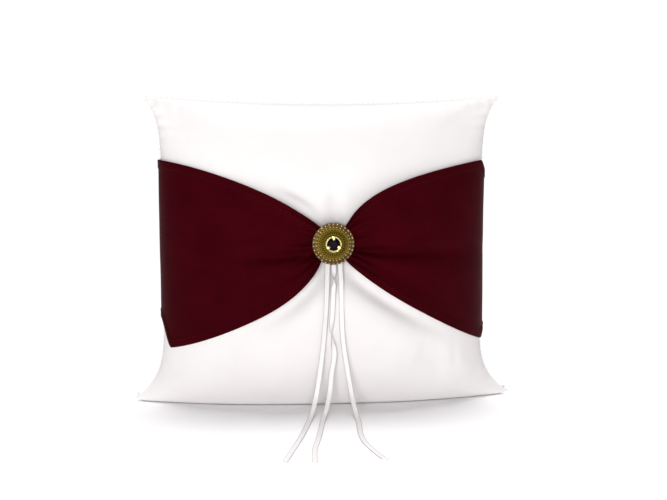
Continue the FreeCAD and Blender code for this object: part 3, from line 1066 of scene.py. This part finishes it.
def twistedThread(line, upright, radius, pitch, plies=2, around=6, closed=False):
    # plies side by side: line + r/2 (n cos p + b sin p), p = 2 pi length / pitch, each a round tube
    shiftShare, plyShare = 0.5, 0.55  # of the thread's radius
    forward = np.gradient(line, axis=0)
    if closed:
        forward[0] = forward[-1] = line[1] - line[-2]
    forward /= np.linalg.norm(forward, axis=1, keepdims=True)
    b = upright - np.sum(upright * forward, 1, keepdims=True) * forward
    b /= np.linalg.norm(b, axis=1, keepdims=True)
    n = np.cross(b, forward)
    along = lengthAlong(line)
    turns = max(1, round(along[-1] / pitch)) if closed else along[-1] / pitch
    points, faces, start = [], [], 0
    for ply in range(plies):
        phase = 2 * math.pi * (turns * along / along[-1] + ply / plies)
        aside = n * np.cos(phase)[:, None] + b * np.sin(phase)[:, None]
        shift = shiftShare * radius * aside if plies > 1 else 0
        r = radius * (plyShare if plies > 1 else 1.0)
        turn = np.arange(around) * 2 * math.pi / around
        tube = r * (n[:, None] * np.cos(turn)[None, :, None] + b[:, None] * np.sin(turn)[None, :, None])
        ring = (line + shift)[:, None] + tube
        ring = ring[:-1] if closed else ring
        rows = len(ring)
        sides = gridFaces(rows, around, closeRows=closed, closeColumns=True) + start
        points.append(ring.reshape(-1, 3))
        faces.append(sides)
        if not closed:
            ends = np.array([[0, 1, 2, 3], [0, 3, 4, 5]])
            faces += [ends[:, ::-1] + start, ends + start + (rows - 1) * around]
        start += rows * around
    return np.concatenate(points), np.concatenate(faces)


def joinParts(parts):
    # arrays of points and faces stacked into one pair
    offsets = np.cumsum([0] + [len(p) for p, _ in parts])
    return np.concatenate([p for p, _ in parts]), np.concatenate([f + o for (_, f), o in zip(parts, offsets)])


def threadPiece(name, parts, node):
    points, faces = joinParts(parts)
    piece = meshPiece(name, points, faces, material=whiteThread)
    closeMesh(piece, distance=1e-8)
    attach(piece, "pillow")
    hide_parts(node)


def makeSeam():
    line = seamLine()
    threadPiece("edgeStitches", [stitches(line, np.tile([0.0, 1.0, 0.0], (len(line), 1)))], "edge_stitching")


tuft = {
    "radius": 0.00045,
    "pitch": 0.0016,
    "eyeRadius": 0.0018,
    "eyeBehind": 0.0039,  # the ring's middle behind the plate
    "tieRadius": 0.0030,
    "tieInset": 0.00022,
    "tieThread": 0.00021,
    "tieWraps": 19,
    "knotSize": 0.00052,
    "knotThread": 0.00050,
    "endThread": 0.8,  # of the knot's thread
}
knotLow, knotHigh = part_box("back_knot")


def makeTuft():
    # thread's ring round the button's eye and its stem through the pillow, both in the plane x = button
    turn = np.linspace(0, 2 * math.pi, 90)
    centre = np.array([buttonX, plateBack + tuft["eyeBehind"], buttonZ])
    ring = centre + tuft["eyeRadius"] * np.stack([0 * turn, np.cos(turn), np.sin(turn)], -1)
    y = np.linspace(centre[1] + tuft["eyeRadius"], knotLow.y + tuft["knotThread"], 300)
    stem = np.stack([np.full_like(y, buttonX), y, np.full_like(y, buttonZ)], -1)
    side = np.array([[1.0, 0, 0]])
    parts = [twistedThread(ring, side, tuft["radius"], tuft["pitch"], closed=True)]
    parts.append(twistedThread(stem, side, tuft["radius"], tuft["pitch"]))
    threadPiece("tuftThread", parts, "tuft_thread")


def makeTie():
    # gathering thread wound round the band's middle: a helix on a ring
    tieLow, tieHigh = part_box("gather_tie")
    turn = np.linspace(0, 2 * math.pi, 700)
    wrap = tuft["tieWraps"] * turn
    wide = (tieHigh.y - tieLow.y) / 2 - tuft["tieInset"]
    radius = tuft["tieRadius"] + wide * np.cos(wrap)
    y = (tieHigh.y + tieLow.y) / 2 + wide * np.sin(wrap)
    line = np.stack([buttonX + radius * np.sin(turn), y, buttonZ + radius * np.cos(turn)], -1)
    backward = np.array([[0, 1.0, 0]])
    winding = twistedThread(line, backward, tuft["tieThread"], tuft["pitch"], plies=1, closed=True)
    threadPiece("gatherTie", [winding], "gather_tie")


def makeKnot():
    # three-leaved knot (sin t + 2 sin 2t, -sin 3t, cos t - 2 cos 2t) and two cut ends that hang in curves
    turn = np.linspace(0, 2 * math.pi, 160)
    middle = np.array([buttonX, (knotLow.y + knotHigh.y) / 2, buttonZ])
    loopX, loopZ = np.sin(turn) + 2 * np.sin(2 * turn), np.cos(turn) - 2 * np.cos(2 * turn)
    loops = middle + tuft["knotSize"] * np.stack([loopX, -np.sin(3 * turn), loopZ], -1)
    backward = np.array([[0, 1.0, 0]])
    parts = [twistedThread(loops, backward, tuft["knotThread"], tuft["pitch"], closed=True)]
    t = np.linspace(0, 1, 40)
    for lean in (-1, 1):
        down = -0.001 - 0.0065 * t + 0.002 * t * t
        end = middle + np.stack([lean * (0.001 + 0.004 * t), 0.0006 - 0.0006 * t, down], -1)
        parts.append(twistedThread(end, backward, tuft["knotThread"] * tuft["endThread"], tuft["pitch"]))
    threadPiece("backKnot", parts, "back_knot")


makeSeam()
makeTuft()
makeTie()
makeKnot()
print("sewing ready")


# button

button = {
    "radius": 0.0130,
    "plateThickness": 0.0008,
    "stamp": (0.55, 0.60, 0.86, 0.90),  # ring stamped in the plate's back, as shares of its radius
    "stampDepth": 0.00015,
    "plateRim": 0.0002,
    "ringBase": 0.0005,
    "beads": 30,
    "outerBeads": (0.01235, 0.00072),  # circle and radius
    "innerBeads": (0.01050, 0.00062),
    "discRadius": 0.0097,
    "discRim": 0.0007,
    "discCrown": 0.0010,
    "ribs": 30,
    "ribHeight": 0.00030,
    "ribSharpness": 1.6,
    "dotCircle": 0.0081,
    "dotRadius": 0.00042,
    "dotHeight": 0.00032,
    "field": (0.0052, 0.0057),  # where the ribs start and where they are whole
    "scallopCircle": 0.0063,
    "scallopSwing": 0.0003,
    "scallopSize": 0.00016,  # width and height
    "edgeHeight": 0.00018,
    "bezelRadius": 0.0050,
    "bezelWall": 0.0006,
    "bezelHeight": 0.0020,
    "bezelFloor": 0.0005,
    "prongs": 3,
    "prongSize": (0.0015, 0.0024, 0.0005),  # width, length, thickness
    "stoneRadius": 0.00415,
    "stoneSides": 12,
    "stoneGirdle": 0.00045,
    "stoneHeight": 0.00135,
    "stoneBreak": (0.76, 0.00055),  # the middle row of corners: share of the radius, height over the girdle
    "stoneTable": 0.48,
    "eyeRadius": 0.0020,
    "eyeWire": 0.0005,
}
discFront = button["plateThickness"] + button["discRim"] + button["discCrown"]


def onButton(radius, angle, forward):
    # point at a radius and an angle (0 straight up, clockwise), so far in front of the plate's back
    radius, angle, forward = np.broadcast_arrays(radius, angle, forward)
    x, z = buttonX + radius * np.sin(angle), buttonZ + radius * np.cos(angle)
    return np.stack([x, plateBack - forward, z], -1)


def roundedProfile(corners, radius, steps=4):
    # closed outline of (radius, forward) corners, each cut off and rounded by a quadratic curve
    corners = np.array(corners, float)
    before, after = np.roll(corners, 1, 0) - corners, np.roll(corners, -1, 0) - corners
    lengths = [np.linalg.norm(v, axis=1, keepdims=True) for v in (before, after)]
    start = corners + before / lengths[0] * np.minimum(radius, lengths[0] / 2)
    end = corners + after / lengths[1] * np.minimum(radius, lengths[1] / 2)
    t = np.linspace(0, 1, steps)[None, :, None]
    curve = start[:, None] * (1 - t) ** 2 + 2 * corners[:, None] * t * (1 - t) + end[:, None] * t * t
    return curve.reshape(-1, 2)


def turnedRing(corners, radius, steps=120):
    # closed outline carried once round the button's axis
    outline = roundedProfile(corners, radius)
    angle = np.linspace(0, 2 * math.pi, steps + 1)[None, :-1]
    points = onButton(outline[:, :1], angle, outline[:, 1:])
    return points.reshape(-1, 3), gridFaces(len(outline), steps, closeRows=True, closeColumns=True)


def roundBeads(circle, radius, forward, count, rings=9, around=14):
    # spheres evenly round a circle, a little flattened towards the front
    polar = np.linspace(0, math.pi, rings)[None, :, None]
    turn = (np.arange(around) * 2 * math.pi / around)[None, None, :]
    angle = (np.arange(count) * 2 * math.pi / count)[:, None, None]
    out, side = radius * np.sin(polar) * np.cos(turn), radius * np.sin(polar) * np.sin(turn)
    rise = radius * 0.95 * np.cos(polar) + 0 * turn
    points = onButton(circle + out, angle + side / circle, forward + rise)
    one = gridFaces(rings, around, closeColumns=True)
    faces = repeated(one, rings * around, count)
    return points.reshape(-1, 3), faces


def metalPiece(name, points, faces, material, nodes, relief, smooth=True):
    # "relief" says how worn each point is; it is painted before doubles are merged
    piece = meshPiece(name, points, faces, material=material, smooth=smooth)
    paintPoints(piece, "relief", relief)
    closeMesh(piece, distance=2e-7)
    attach(piece, "button")
    if nodes:
        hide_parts(*nodes)
    return piece


def forwardOf(points):
    return plateBack - points[:, 1]


def makePlate():
    # flat dish with a rounded rim and a shallow stamped ring on its back
    t, r, cut, deep = button["plateThickness"], button["radius"], button["plateRim"], button["stampDepth"]
    stamp = [(r * share, forward) for share, forward in zip(button["stamp"], (0, deep, deep, 0))]
    rim = [(r - cut, 0), (r, cut), (r, t - cut), (r - cut, t), (r * 0.5, t), (0, t)]
    outline = np.array([(0, 0)] + stamp + rim)
    angle = np.linspace(0, 2 * math.pi, 121)[None, :-1]
    points = onButton(outline[:, :1], angle, outline[:, 1:]).reshape(-1, 3)
    relief = smoothStep(0.5 * r, r, np.hypot(points[:, 0] - buttonX, points[:, 2] - buttonZ))
    faces = gridFaces(len(outline), 120, closeColumns=True)
    metalPiece("buttonPlate", points, faces, discBrass, ["button_plate"], relief)


def makeBeadRing(name, node, circle, radius):
    # flat ring with beads evenly round it
    low = button["plateThickness"]
    top = low + button["ringBase"]
    inside, outside = circle - radius, circle + radius
    base = turnedRing([(inside, low), (outside, low), (outside, top), (inside, top)], 0.0001)
    points, faces = joinParts([base, roundBeads(circle, radius, top, button["beads"])])
    relief = smoothStep(top, top + radius * 0.8, forwardOf(points))
    metalPiece(name, points, faces, beadBrass, [node], relief)


def makeDisc():
    # dome with radial ribs, a dot in each gap and a scalloped circle; the back is flat
    steps, front, ribCount = button["ribs"] * 14, 46, button["ribs"]
    outer = button["discRadius"]
    radius = np.linspace(0.0, outer, front)[:, None]
    angle = np.linspace(0, 2 * math.pi, steps + 1)[None, :-1]
    low, rim = button["plateThickness"], button["plateThickness"] + button["discRim"]
    crown = rim + button["discCrown"] * (1 - smoothStep(button["bezelRadius"], outer * 1.02, radius))
    wave = 0.5 + 0.5 * np.cos(ribCount * angle)
    field = smoothStep(*button["field"], radius) * (1 - smoothStep(outer - 0.0006, outer - 0.0002, radius))
    fromCircle = radius - button["dotCircle"]
    ribs = wave ** button["ribSharpness"] * field * (1 - 0.75 * bell(fromCircle, 0.0006))  # lower by the dots
    fromGap = (np.mod(angle * ribCount / (2 * math.pi), 1) - 0.5) * 2 * math.pi / ribCount
    dots = bell(fromCircle, button["dotRadius"]) * bell(fromGap * radius, button["dotRadius"])
    circle = button["scallopCircle"] + button["scallopSwing"] * np.cos(ribCount * angle)
    scallops = bell(radius - circle, button["scallopSize"])
    edge = smoothStep(outer - 0.0007, outer - 0.0004, radius)
    relief = np.maximum(np.maximum(ribs, dots), np.maximum(0.7 * scallops, edge + 0 * angle))
    height = crown + button["ribHeight"] * ribs + button["dotHeight"] * dots
    height = height + button["scallopSize"] * scallops + button["edgeHeight"] * edge
    face = onButton(radius, angle, height)
    backRadius, backFront = (outer + 0.00005, outer, 0.0), (rim - 0.0002, low, low)
    back = onButton(np.array(backRadius)[:, None], angle, np.array(backFront)[:, None])
    points = np.concatenate([face, back], 0)
    shade = np.concatenate([relief, np.full((3, steps), 0.3)], 0)
    shade = np.where(np.concatenate([radius, np.ones((3, 1))]) < button["field"][0], 0.5, shade)
    faces = gridFaces(front + 3, steps, closeColumns=True)
    metalPiece("filigreeDisc", points, faces, discBrass, ["filigree_disc"], shade)


def squared(value, power=0.6):
    # sign(value) |value|^power, which turns a circle into a rounded square
    return np.sign(value) * np.abs(value) ** power


def makeBezel():
    # cup wall with a rolled lip and a floor, and rounded prongs that lean in over the stone
    rings, around = 13, 20
    r, wall, low = button["bezelRadius"], button["bezelWall"], discFront
    top = low + button["bezelHeight"]
    small, inside, floorTop = 0.0001, r - wall, low + button["bezelFloor"]
    lip = [(inside, floorTop), (inside, top - 2 * small), (r - wall / 2, top), (r, top - 3 * small)]
    foot = [(r - small, low + 7 * small), (r + small, low), (inside, low)]
    cup = turnedRing(lip + foot, 0.00012)
    within = inside + small
    floor = turnedRing([(small, low), (within, low), (within, floorTop), (small, floorTop)], small)
    width, length, thickness = button["prongSize"]
    polar = np.linspace(0, math.pi, rings)[None, :, None]
    turn = np.linspace(0, 2 * math.pi, around + 1)[None, None, :-1]
    side = width / 2 * squared(np.sin(polar)) * squared(np.cos(turn))
    rise = thickness / 2 * squared(np.sin(polar)) * squared(np.sin(turn))
    reach = -length / 2 * squared(np.cos(polar)) + 0 * turn
    angle = (np.arange(button["prongs"]) * 2 * math.pi / button["prongs"])[:, None, None]
    middle = r - length / 2
    sag = 0.00025 * smoothStep(0.0, length / 2, -reach)
    direct = onButton(middle + reach, angle, top + thickness / 2 - 0.0001 + rise - sag)
    across = np.stack([np.cos(angle), 0 * angle, -np.sin(angle)], -1)
    prongs = direct + across * side[..., None]
    one = gridFaces(rings, around, closeColumns=True)
    faces = repeated(one, rings * around, button["prongs"])
    points, faces = joinParts([cup, floor, (prongs.reshape(-1, 3), faces)])
    relief = smoothStep(low, top, forwardOf(points))
    metalPiece("stoneBezel", points, faces, paleGold, ["stone_bezel"], relief)


def makeStone():
    # rose cut: a straight girdle, then two rows of three-sided facets up to a small table
    n, r = button["stoneSides"], button["stoneRadius"]
    low = discFront + button["bezelFloor"] + 0.00005
    girdle, high = low + button["stoneGirdle"], low + button["stoneHeight"]
    share, lift = button["stoneBreak"]
    levels = [(r, low, 0), (r, girdle, 0), (share * r, girdle + lift, 0.5)]
    levels.append((button["stoneTable"] * r, high, 0))
    angle = np.arange(n) * 2 * math.pi / n
    rings = [onButton(radius, angle + half * 2 * math.pi / n, forward) for radius, forward, half in levels]
    points = np.concatenate(rings + [onButton(0.0, 0.0, high)[None], onButton(0.0, 0.0, low)[None]])
    k, k2, top, bottom = np.arange(n), (np.arange(n) + 1) % n, np.full(n, 4 * n), np.full(n, 4 * n + 1)
    faces = [(k, k2, n + k2), (k, n + k2, n + k)]
    faces += [(n + k, n + k2, 2 * n + k), (2 * n + k, n + k2, 2 * n + k2)]
    faces += [(2 * n + k, 3 * n + k2, 3 * n + k), (2 * n + k, 2 * n + k2, 3 * n + k2)]
    faces += [(3 * n + k, 3 * n + k2, top), (k2, k, bottom)]
    faces = np.concatenate([np.stack(row, -1) for row in faces])
    flat = np.zeros(len(points))
    metalPiece("centreStone", points, faces, blackStone, ["centre_stone"], flat, smooth=False)


def makeEye():
    # wire ring behind the plate, lying level: (R + r cos) round the upright axis, r sin up
    rows, columns = 48, 12
    big = np.linspace(0, 2 * math.pi, rows + 1)[:-1, None]
    wire = np.linspace(0, 2 * math.pi, columns + 1)[None, :-1]
    radius = button["eyeRadius"] + button["eyeWire"] * np.cos(wire)
    centreY = plateBack + button["eyeRadius"] - 0.0002
    height = buttonZ + button["eyeWire"] * np.sin(wire) + 0 * big
    points = np.stack([buttonX + radius * np.cos(big), centreY + radius * np.sin(big), height], -1)
    points = points.reshape(-1, 3)
    faces = gridFaces(rows, columns, closeRows=True, closeColumns=True)
    relief = np.full(len(points), 0.6)
    metalPiece("shankEye", points, faces, discBrass, ["shank_loop"], relief)


makePlate()
makeBeadRing("outerBeadRing", "outer_beads", *button["outerBeads"])
makeBeadRing("innerBeadRing", "inner_beads", *button["innerBeads"])
makeDisc()
makeBezel()
makeStone()
makeEye()
print("button ready")
